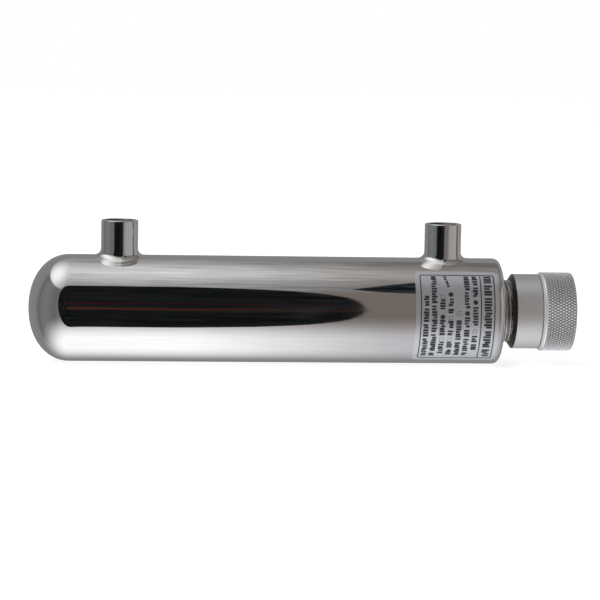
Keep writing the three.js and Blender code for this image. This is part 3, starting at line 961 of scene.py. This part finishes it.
def rounded_frame(ink, x0, x1, top, bottom, corner, line):
    """A thin line round the print: four straight runs and four round corners."""
    turned = corner / LABEL_DEGREE
    for angle, direction in ((top, -1), (bottom, 1)):
        ink.block(x0 + corner, x1 - corner, angle, angle + direction * line / LABEL_DEGREE)
    for x in (x0, x1 - line):
        ink.block(x, x + line, top - turned, bottom + turned)
    for cx, sx in ((x0 + corner, -1), (x1 - corner, 1)):
        for ca, sa in ((top - turned, 1), (bottom + turned, -1)):
            rows = []
            for i in range(9):
                turn = i / 8 * math.pi / 2
                rows.append([
                    (cx + sx * r * math.sin(turn), ca + sa * r * math.cos(turn) / LABEL_DEGREE)
                    for r in (corner, corner - line)
                ])
            ink.island(rows if sx * sa > 0 else [row[::-1] for row in rows])


def label_print():
    """Frame, divider and rows that run down the label. Nothing on it can be read."""
    start, end, _ = span("rating_label")
    ink = Print()
    frame_left, frame_right = start + 2.2, end - 1.9
    divider = frame_right - 6.7
    rounded_frame(ink, frame_left, frame_right, LABEL_TOP - 4.4, LABEL_BOTTOM + 4.6, 1.2, 0.5)
    ink.block(divider - 0.25, divider + 0.25, LABEL_TOP - 5.1, LABEL_BOTTOM + 5.3)
    ink.words((divider + frame_right) / 2, 0.0, 1.0, 3.6, 1.36, 0.82)
    row = [divider - 2.7 - 3.9 * i for i in range(7)]
    tall, pitch, weight = 2.55, 1.3, 0.82
    runs = [
        (0, 0.0, 0.27), (0, 0.36, 0.58), (0, 0.68, 0.89),
        (1, 0.0, 0.39), (1, 0.47, 1.0),
        (2, 0.505, 1.0),
        (3, 0.27, 0.45), (3, 0.51, 0.7), (3, 0.76, 1.0),
        (4, 0.28, 0.44), (4, 0.5, 0.7), (4, 0.76, 0.95),
        (5, 0.0, 1.0),
        (6, 0.24, 0.99),
    ]
    for line, first, last in runs:
        ink.words(row[line], first, last, tall, pitch, weight)
    ink.words(row[3] - 2.4, 0.0, 0.19, 1.5, 1.3, weight, lean=2.0)
    for line, share in ((0, 0.31), (1, 0.43), (3, 0.225), (4, 0.47)):
        ink.dot(row[line], angle_at(share), 1.15)
    for line, share in ((0, 0.63), (2, 0.43), (3, 0.48), (3, 0.73), (4, 0.25), (4, 0.73)):
        ink.box(row[line], angle_at(share), 0.95, 0.16)
    return add_piece(
        "label_print", (ink.vertices, ink.faces), INK, "chamber", sharp=30, weighted=False
    )


# ---------------------------------------------------------------- sleeve and gland


def quartz_sleeve():
    start, end, radius = span("quartz_sleeve")
    bore = radius - SLEEVE_WALL
    outline = [
        *arc(start + radius, 0, -radius, radius, 20)[::-1],
        *arc(end - 0.35, radius - 0.35, 0.35, 0.35, 4),
        *arc(end - 0.35, bore + 0.35, 0.35, -0.35, 4)[::-1],
        *arc(start + radius, 0, -bore, bore, 20),
    ]
    return turned_piece("sleeve_quartz", outline, 64, QUARTZ, "sleeve", "quartz_sleeve")


def sleeve_oring():
    start, end, radius = span("sleeve_oring")
    section, steps = (end - start) / 2, 20
    outline = []
    for i in range(steps):
        angle = i / steps * TAU
        x = (start + end) / 2 + section * math.cos(angle)
        outline.append((x, radius - section + section * math.sin(angle)))
    return turned_piece("oring_seal", outline, 96, RUBBER, "sleeve", "sleeve_oring")


def plain_ring(name, node, bore, material_used, body, edge=0.25):
    start, end, radius = span(node)
    outline = rounded([(start, bore), (start, radius), (end, radius), (end, bore)], edge)
    return turned_piece(name, outline, 96, material_used, body, node)


def gland_nut():
    start, end, radius = span("gland_nut")
    face = span("lamp_cap")[0] - FACE_GAP
    bore = span("threaded_neck")[2] + THREAD_CLEARANCE
    counterbore = start + 11.4
    inside = nut_thread(NECK_PITCH, NECK_THREAD_DEPTH, start + 0.4, start + 7.8)
    outside = chamfered(thread(CAP_PITCH, CAP_THREAD_DEPTH, face + 1.1, end), end - 0.6, 1.3)
    outline = [
        (start, bore + 0.1),
        (start, 15.6),
        (start + GLAND_BEVEL, 17.88),
        *[(start + 1.6 + 0.03 * i, 17.95 + 0.05 * math.sin(i / 4 * math.pi / 2)) for i in range(1, 5)],
        (start + 5.0, radius),
        (face - 0.35, radius),
        *arc(face - 0.3, radius - 0.25, 0.25, 0.25, 4),
        (face, 15.4),
        (face + 0.9, 15.2),
        (face + 1.0, 15.9),
        *row_of(face + 1.1, end, SPIGOT_RADIUS, CAP_PITCH / 12, outside),
        (end, 11.2),
        (end - 0.25, 11.0),
        (counterbore, 11.0),
        *row_of(counterbore, start + 0.1, bore, NECK_PITCH / 12, inside),
    ]
    return turned_piece("gland_nut_body", outline, 128, GLAND, "gland_nut", "gland_nut")


# ---------------------------------------------------------------- lamp


def lamp_glass():
    start, end, radius = span("lamp_glass")
    bore = radius - GLASS_WALL
    outline = rounded([(start, bore), (start, radius), (end, radius), (end, bore)], 0.2)
    return turned_piece("lamp_tube_glass", outline, 64, LAMP_GLASS, "lamp", "lamp_glass")


def lamp_end_cap():
    start, end, radius = span("lamp_end_cap")
    outline = [
        (start + 2, 0.0),
        (start + 2, LAMP_SEAT_RADIUS),
        *arc(end - 0.15, 8.0, 0.15, -0.15, 2)[::-1],
        *arc(end - 0.2, radius - 0.2, 0.2, 0.2, 3)[::-1],
        (start + 1.0, radius),
        *arc(start + 1.0, radius - 1.0, -1.0, 1.0, 6),
        (start, 0.0),
    ]
    return turned_piece("lamp_far_cap", outline, 64, CERAMIC, "lamp", "lamp_end_cap")


def drilled(piece, hole_radius, depth, face_x, inward):
    """Cuts a blind round hole for each pin in one end of a turned piece. inward is 1 where the holes run
    along +X and -1 where they run back."""
    name = piece.name
    shapes = []
    for y, z in pin_places():
        reach = [(-1.0, 0.0), (-1.0, hole_radius), (depth, hole_radius), (depth, 0.0)]
        drill, walls = revolve(reach, 24, closed=False)
        drill = [(face_x + inward * v[0], v[1] + y, v[2] + z) for v in drill]
        shapes.append((drill, walls if inward > 0 else [face[::-1] for face in walls]))
    vertices, faces = joined(*shapes)
    mesh = bpy.data.meshes.new(name + "_drill")
    mesh.from_pydata([tuple(c * MM for c in v) for v in vertices], [], faces)
    tool = bpy.data.objects.new(name + "_drill", mesh)
    bpy.context.scene.collection.objects.link(tool)
    modifier = piece.modifiers.new("holes", "BOOLEAN")
    modifier.object = tool
    modifier.operation = "DIFFERENCE"
    modifier.solver = "EXACT"
    bpy.context.view_layer.update()
    graph = bpy.context.evaluated_depsgraph_get()
    bored = bpy.data.meshes.new_from_object(piece.evaluated_get(graph))
    piece.modifiers.clear()
    piece.data = bored
    bored.shade_smooth()
    bored.set_sharp_from_angle(angle=math.radians(35))
    piece.modifiers.new("even_shading", "WEIGHTED_NORMAL").keep_sharp = True
    bpy.data.objects.remove(tool)
    return piece


def pin_places():
    """(y, z) of the four pins, in millimetres."""
    places = []
    for i in range(1, 5):
        low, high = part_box(f"lamp_pin_{i}")
        places.append(((low.y + high.y) / 2 / MM, (low.z + high.z) / 2 / MM))
    return places


def lamp_base():
    start, end, radius = span("lamp_base")
    outline = [
        (start + 8, 0.0),
        (start + 8, LAMP_SEAT_RADIUS),
        *arc(start + 0.15, 8.0, -0.15, -0.15, 2)[::-1],
        *arc(start + 0.2, radius - 0.2, -0.2, 0.2, 3)[::-1],
        (start + 9.0, radius),
        (start + 9.2, radius - 0.25),
        (start + 9.8, radius - 0.25),
        (start + 10.0, radius),
        (end - 0.6, radius),
        *arc(end - 0.6, radius - 0.6, 0.6, 0.6, 5),
        (end, 0.0),
    ]
    piece = turned_piece("lamp_pin_base", outline, 64, CERAMIC, "lamp", "lamp_base")
    return drilled(piece, 1.35, 3.4, end, -1)


def lamp_pins():
    for i, (y, z) in enumerate(pin_places(), 1):
        low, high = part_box(f"lamp_pin_{i}")
        start, end, radius = low.x / MM, high.x / MM, 1.1
        outline = [
            (start, 0.0),
            *arc(start + 0.1, radius - 0.1, -0.1, 0.1, 2)[::-1],
            (start + 3.2, radius),
            (end - 0.9, radius),
            *arc(end - 0.9, 0.0, 0.9, radius, 8),
        ]
        shape = moved(revolve(outline, 24), y=y, z=z)
        add_piece(f"contact_pin_{i}", shape, BRASS, "lamp", [f"lamp_pin_{i}"])


def return_wires():
    for i in (1, 2):
        low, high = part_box(f"return_wire_{i}")
        y = (low.y + high.y) / 2 / MM
        start, length = low.x / MM, (high.x - low.x) / MM
        path = [(start + length * t / 30, y, 0.06 * math.sin(t * 0.9)) for t in range(31)]
        shape = sweep(path, 0.2, 10)
        add_piece(f"wire_return_{i}", shape, WIRE, "lamp", [f"return_wire_{i}"])


def filament(node, direction):
    """Two lead-in posts with a coiled coil between their tips."""
    low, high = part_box(node)
    near, far = (low.x, high.x) if direction > 0 else (high.x, low.x)
    near, far, half = near / MM, far / MM, high.y / MM - 0.5
    tip, bend = far - direction * 0.6, 0.6
    tip_half, coil_radius, turns, steps = half * 0.86, 0.25, 13, 130
    posts = []
    for side in (-1, 1):
        straight = [(near, side * half, 0), (near + (tip - near) * bend, side * half, 0)]
        posts.append(sweep([*straight, (tip, side * tip_half, 0)], 0.22, 8))
    coil = []
    for i in range(steps + 1):
        t = i / steps
        angle = t * turns * TAU
        x = tip + direction * (coil_radius * math.cos(angle))
        coil.append((x, tip_half * (2 * t - 1), coil_radius * math.sin(angle)))
    shape = joined(*posts, sweep(coil, 0.09, 6))
    add_piece(node + "_coil", shape, TUNGSTEN, "lamp", [node])


def lamp_socket():
    start, end, radius = span("lamp_socket")
    mouth = span("quartz_sleeve")[1]
    front = 8.4
    outline = [
        (start, 0.0),
        *arc(start + 0.4, front - 0.4, -0.4, 0.4, 4)[::-1],
        (mouth + 0.34, front),
        (mouth + 0.35, radius - 0.3),
        *arc(mouth + 0.65, radius - 0.3, -0.3, 0.3, 3)[::-1],
        *arc(mouth + 2.2, radius - 0.3, 0.3, 0.3, 3),
        (mouth + 2.55, 7.4),
        (mouth + 2.9, 7.0),
        (end - 1.0, 6.8),
        *arc(end - 1.0, 5.8, 1.0, 1.0, 6),
        (end, 3.3),
        (end - 0.3, 3.1),
        (end - 4.0, 3.1),
        (end - 4.0, 0.0),
    ]
    piece = turned_piece("socket_body", outline, 64, PLASTIC, "socket", "lamp_socket")
    return drilled(piece, 1.7, 9.6, start, 1)


def socket_contacts():
    for i, (y, z) in enumerate(pin_places(), 1):
        start, end, _ = span(f"socket_contact_{i}")
        outline = [
            (start, 1.42),
            (start + 0.12, 1.5),
            (start + 2.4, 1.5),
            (start + 3.2, 1.4),
            (start + 4.4, 1.4),
            (start + 5.2, 1.5),
            (end, 1.5),
            (end, 1.28),
            (start + 0.3, 1.28),
        ]
        shape = moved(revolve(outline, 32), y=y, z=z)
        add_piece(f"contact_sleeve_{i}", shape, BRASS, "socket", [f"socket_contact_{i}"])


# ---------------------------------------------------------------- cap


def lamp_cap():
    start, end, radius = span("lamp_cap")
    diamonds = knurl(*knurled_stretch())
    bore = SPIGOT_RADIUS + THREAD_CLEARANCE
    inside_end = start + 11.7
    inside = nut_thread(CAP_PITCH, CAP_THREAD_DEPTH, start + 1.9, start + 9.8)
    hole = 5.2
    outline = [
        (start, bore + 0.2),
        (start, 18.0),
        (start + 0.05, 18.12),
        (start + 1.1, radius - 0.1),
        (start + 1.25, radius - 0.01),
        *row_of(start + 1.4, end - 1.25, radius, KNURL_PERIOD / 14, diamonds),
        *[(x, r, diamonds) for x, r in arc(end - 1.25, radius - 1.3, 1.25, 1.3, 12)[1:]],
        (end, 15.5),
        (end - 0.25, 15.1),
        (end - 0.25, 7.6),
        (end - 0.1, 7.3),
        (end - 0.1, hole + 0.2),
        (end - 0.3, hole),
        (inside_end, hole),
        *row_of(inside_end, start + 0.2, bore, CAP_PITCH / 12, inside),
    ]
    sides = KNURL_TEETH * 10
    return turned_piece(
        "knurled_cap", outline, sides, KNURLED, "cap", "lamp_cap", sharp=60
    )


def cable_grommet():
    start, end, radius = span("cable_grommet")
    outline = rounded(
        [
            (start, 3.0),
            (start, radius),
            (start + 1.5, radius),
            (start + 1.5, 4.9),
            (end - 0.8, 4.9),
            (end - 0.8, 6.6),
            (end, 6.3),
            (end, 3.0),
        ],
        0.3,
    )
    return turned_piece("grommet_rubber", outline, 64, RUBBER, "cable_exit", "cable_grommet")


# ---------------------------------------------------------------- the studio


def camera():
    """A long lens, a little from the left and above, with a slight roll."""
    azimuth, elevation, roll = map(math.radians, (-5.286, 6.269, 1.096))
    distance = 1.12
    target = Vector((0.009078, 0.0, 0.00448))
    back = Vector((
        math.sin(azimuth) * math.cos(elevation),
        -math.cos(azimuth) * math.cos(elevation),
        math.sin(elevation),
    ))
    right = Vector((math.cos(azimuth), math.sin(azimuth), 0))
    up = back.cross(right)
    turned_right = right * math.cos(roll) + up * math.sin(roll)
    turned_up = up * math.cos(roll) - right * math.sin(roll)
    data = bpy.data.cameras.new("camera")
    data.sensor_width = 36
    data.lens = 140.4
    data.clip_start, data.clip_end = 0.05, 50
    seen = bpy.data.objects.new("camera", data)
    rotation = Matrix((turned_right, turned_up, back)).transposed().to_4x4()
    seen.matrix_world = Matrix.Translation(target + back * distance) @ rotation
    bpy.context.scene.collection.objects.link(seen)
    bpy.context.scene.camera = seen


# Colours of the studio by direction, as (angle in degrees, colour). Turns are round Z from straight in
# front, with the right side at 90.
WALLS = [
    (-180, (0.25, 0.25, 0.25)),
    (-125, (0.24, 0.24, 0.24)),
    (-112, (0.175, 0.175, 0.175)),
    (-108, (0.135, 0.135, 0.135)),
    (-103, (0.18, 0.18, 0.185)),
    (-80, (0.2, 0.2, 0.207)),
    (-50, (0.15, 0.148, 0.148)),
    (-28, (0.19, 0.17, 0.16)),
    (0, (0.187, 0.158, 0.143)),
    (22, (0.19, 0.162, 0.148)),
    (36, (0.36, 0.345, 0.335)),
    (84, (0.4, 0.385, 0.375)),
    (90, (0.1, 0.09, 0.085)),
    (97, (0.1, 0.09, 0.085)),
    (103, (0.33, 0.325, 0.32)),
    (140, (0.27, 0.27, 0.27)),
    (180, (0.25, 0.25, 0.25)),
]
# The ceiling, by its height above the horizon.
CEILING = [(43, 0.3), (60, 0.37), (70, 0.51), (80, 0.63), (90, 0.7)]
# How strongly two soft glows show, by the angle from their middles: the lit table and a lamp up left.
TABLE_GLOW = [(0, 1.0), (15, 1.0), (25, 0.86), (34, 0.66), (43, 0.42), (55, 0.14), (66, 0.0)]
LAMP_GLOW = [(0, 1.1), (10, 1.05), (16, 0.92), (20, 0.8), (25, 0.68), (30, 0.55), (42, 0.3)]
TABLE_MIDDLE = (0.0, -math.sin(math.radians(14)), -math.cos(math.radians(14)))
LAMP_MIDDLE = (-0.47, 0.04, 0.88)
# The light falls off towards the right: the share that is left, by the sideways part of the direction.
FALL_OFF = [(0.0, 1.0), (0.045, 1.0), (0.08, 0.8), (0.13, 0.52), (0.17, 0.46), (1.0, 0.46)]


def grey_stops(stops, low, high):
    """Ramp stops for plain values, from positions between low and high."""
    return [((at - low) / (high - low), (value, value, value)) for at, value in stops]


def glow(graph, direction, middle, stops):
    """A round soft glow about a direction, from stops of (degrees away from it, strength)."""
    dot = graph.add("ShaderNodeVectorMath", operation="DOT_PRODUCT")
    graph.link(direction, dot.inputs[0])
    dot.inputs[1].default_value = Vector(middle).normalized()
    away = graph.math("ARCCOSINE", graph.math("MINIMUM", dot.outputs["Value"], 1.0))
    widest = stops[-1][0]
    share = graph.math("DIVIDE", away, math.radians(widest))
    return graph.ramp(share, grey_stops(stops, 0, widest))


def studio_world():
    """What the polished steel reflects: grey walls, a pale ceiling, a lit table below and a lamp up on
    the left. The camera itself sees plain white."""
    world = bpy.data.worlds.new("studio")
    bpy.context.scene.world = world
    world.use_nodes = True
    graph = Graph(world.node_tree)
    direction = graph.add("ShaderNodeTexCoord").outputs["Generated"]
    x, y, z = graph.axes(direction)
    forward = graph.math("MULTIPLY", y, -1.0)
    turn = graph.math("ARCTAN2", x, forward)
    height = graph.math("ARCSINE", z)

    walls = graph.ramp(
        graph.math("MULTIPLY_ADD", turn, 1 / TAU, 0.5), [(at / 360 + 0.5, colour) for at, colour in WALLS]
    )
    lowest = CEILING[0][0]
    share = graph.spread(height, math.radians(lowest), math.radians(90), 0.0, 1.0)
    ceiling = graph.ramp(share, grey_stops(CEILING, lowest, 90))
    lamp = glow(graph, direction, LAMP_MIDDLE, LAMP_GLOW)
    ceiling = graph.mix(1.0, ceiling, lamp, "LIGHTEN")

    streak_place = graph.add("ShaderNodeCombineXYZ")
    graph.link(graph.math("MULTIPLY_ADD", x, 42.0, graph.math("MULTIPLY", y, 2.5)), streak_place.inputs[0])
    graph.link(graph.math("MULTIPLY", y, 13.0), streak_place.inputs[1])
    streaks = graph.noise(streak_place.outputs[0], 4.0, 0.62)
    shade = graph.spread(streaks, 0.3, 0.7, 0.74, 1.34)
    shade = graph.mix(graph.spread(x, -0.3, -0.1, 0.0, 1.0), (1, 1, 1), shade)
    side = graph.ramp(graph.math("MAXIMUM", x, 0.0), grey_stops(FALL_OFF, 0, 1))
    fall = graph.mix(1.0, side, shade, "MULTIPLY")
    warm = graph.mix(graph.spread(x, 0.06, 0.14, 0.0, 1.0), (1, 1, 1), (1.04, 0.99, 0.95))
    ceiling = graph.mix(1.0, graph.mix(1.0, ceiling, fall, "MULTIPLY"), warm, "MULTIPLY")
    above = graph.spread(height, math.radians(41.5), math.radians(45), 0.0, 1.0)
    room = graph.mix(above, walls, ceiling)

    calm = graph.spread(streaks, 0.3, 0.7, 0.93, 1.05)
    cool = graph.mix(graph.spread(x, 0.04, 0.14, 0.0, 1.0), (1.2, 1.2, 1.2), (1.17, 1.16, 1.22))
    table = graph.mix(1.0, graph.mix(1.0, cool, side, "MULTIPLY"), calm, "MULTIPLY")
    room = graph.mix(glow(graph, direction, TABLE_MIDDLE, TABLE_GLOW), room, table)

    seen = graph.add("ShaderNodeLightPath").outputs["Is Camera Ray"]
    background = graph.add("ShaderNodeBackground")
    graph.link(graph.mix(seen, room, (1, 1, 1)), background.inputs["Color"])
    output = graph.add("ShaderNodeOutputWorld")
    graph.link(background.outputs[0], output.inputs["Surface"])


def reflected_card(name, outline, y, build):
    """A flat sheet across the view at that y, seen only in reflections. outline is (x, z) in metres, and
    build adds its colour."""
    mesh = bpy.data.meshes.new(name)
    mesh.from_pydata([(x, y, z) for x, z in outline], [], [list(range(len(outline)))])
    made = bpy.data.materials.new(name)
    made.use_nodes = True
    graph = Graph(made.node_tree)
    emission = graph.add("ShaderNodeEmission")
    build(graph, emission)
    graph.surface(emission.outputs[0])
    mesh.materials.append(made)
    sheet = bpy.data.objects.new(name, mesh)
    bpy.context.scene.collection.objects.link(sheet)
    sheet.visible_camera = False
    sheet.visible_shadow = False
    sheet.visible_diffuse = False
    sheet.visible_transmission = False


# The dark card in front, in metres: its middle, and each corner's reach sideways, reach up or down, and
# power of its superellipse.
CARD_Y = -0.45
CARD_MIDDLE = (-0.1, 0.15)
CARD_CORNERS = [(0.19, 0.455, 2.4), (-0.328, 0.455, 2.6), (-0.328, -0.475, 1.6), (0.19, -0.465, 3.3)]
WEDGE_Y = -0.3
WEDGE = [(0.081, 0.345), (0.089, 0.306), (0.097, 0.286), (0.115, 0.268), (0.15, 0.26), (0.205, 0.75),
         (0.173, 0.745), (0.144, 0.62), (0.122, 0.522), (0.1, 0.425)]
# Two faint red lines on the card, as (height, half width, colour).
RED_LINES = [(0.035, 0.03, (0.075, 0.024, 0.016)), (0.125, 0.022, (0.035, 0.005, 0.009))]


def dark_card():
    outline = []
    for index, (sideways, upright, power) in enumerate(CARD_CORNERS):
        corner = arc(0, 0, abs(upright), abs(sideways), 16, power)
        points = [(CARD_MIDDLE[0] + math.copysign(r, sideways), CARD_MIDDLE[1] + math.copysign(z, upright))
                  for z, r in corner]
        outline.extend(points if index % 2 == 0 else points[::-1])

    def build(graph, emission):
        x, _, z = graph.place()
        folds = graph.grain((9, 1, 26), 3.0, 0.6)
        patches = graph.grain((26, 1, 5), 2.0)
        fold = graph.spread(folds, 0.35, 0.7, 0, 1)
        cloth = graph.mix(fold, (0.003, 0.0035, 0.0035), (0.013, 0.015, 0.016))
        patchy = graph.spread(patches, 0.45, 0.7, 0, 0.6)
        worn = graph.math("MULTIPLY", patchy, graph.spread(x, 0, 0.08, 0.2, 1))
        cloth = graph.mix(worn, cloth, (0.03, 0.033, 0.038))
        reach = graph.math(
            "MULTIPLY",
            graph.spread(x, -0.17, -0.13, 0.0, 1.0),
            graph.spread(x, -0.12, 0.07, 1.0, 0.3),
        )
        for height, half_width, colour in RED_LINES:
            off = graph.math("ABSOLUTE", graph.math("SUBTRACT", z, height))
            line = graph.math("MULTIPLY", graph.spread(off, 0.003, half_width, 1.0, 0.0), reach)
            cloth = graph.mix(line, cloth, colour)
        graph.link(cloth, emission.inputs["Color"])

    reflected_card("dark_card", outline, CARD_Y, build)


def dark_wedge():
    def build(graph, emission):
        folds = graph.grain((30, 1, 12), 3.0, 0.6)
        colour = graph.mix(graph.spread(folds, 0.4, 0.7, 0, 1), (0.006, 0.008, 0.009), (0.05, 0.055, 0.06))
        graph.link(colour, emission.inputs["Color"])

    reflected_card("dark_wedge", WEDGE, WEDGE_Y, build)


def pale_floor():
    """A pale table top under the part."""
    z = cad_low.z - 0.0005
    size = 6.0
    mesh = bpy.data.meshes.new("floor")
    corners = [(-size, -size, z), (size, -size, z), (size, size, z), (-size, size, z)]
    mesh.from_pydata(corners, [], [[0, 1, 2, 3]])
    made = bpy.data.materials.new("pale_table")
    made.use_nodes = True
    graph = Graph(made.node_tree)
    grain = graph.grain(60)
    shader = graph.add("ShaderNodeBsdfPrincipled")
    graph.feed(shader, "Base Color", graph.mix(grain, (0.86, 0.86, 0.86), (0.9, 0.9, 0.9)))
    graph.feed(shader, "Roughness", 0.9)
    graph.feed(shader, "Emission Color", (1, 1, 1, 1))
    graph.feed(shader, "Emission Strength", 0.72)
    graph.surface(shader.outputs[0])
    mesh.materials.append(made)
    floor = bpy.data.objects.new("floor", mesh)
    bpy.context.scene.collection.objects.link(floor)
    floor.visible_glossy = False


def key_light():
    """A soft square light from the upper left, turned to the origin and not seen in reflections."""
    data = bpy.data.lights.new("key_light", "AREA")
    data.shape = "RECTANGLE"
    data.size, data.size_y = 0.6, 0.6
    data.energy = 6
    lamp = bpy.data.objects.new("key_light", data)
    lamp.location = (-0.5, -0.6, 0.9)
    lamp.rotation_mode = "QUATERNION"
    lamp.rotation_quaternion = (-Vector(lamp.location)).to_track_quat("-Z", "Y")
    lamp.visible_glossy = False
    bpy.context.scene.collection.objects.link(lamp)


chamber_tube()
dome_end()
shoulder_end()
threaded_neck()
for port_node in PORT_NODES:
    port(port_node)
centring_spring()
label_foil_sheet()
label_print()
quartz_sleeve()
sleeve_oring()
plain_ring("gland_washer_ring", "thrust_washer", 10.3, NYLON, "gland_washer")
gland_nut()
lamp_glass()
lamp_end_cap()
lamp_base()
lamp_pins()
return_wires()
filament("filament_far", 1)
filament("filament_near", -1)
lamp_socket()
socket_contacts()
lamp_cap()
plain_ring("cap_seal_ring", "cap_gasket", 11.5, RUBBER, "cap", 0.15)
cable_grommet()

camera()
studio_world()
dark_card()
dark_wedge()
pale_floor()
key_light()

bpy.context.scene.view_settings.view_transform = "Standard"
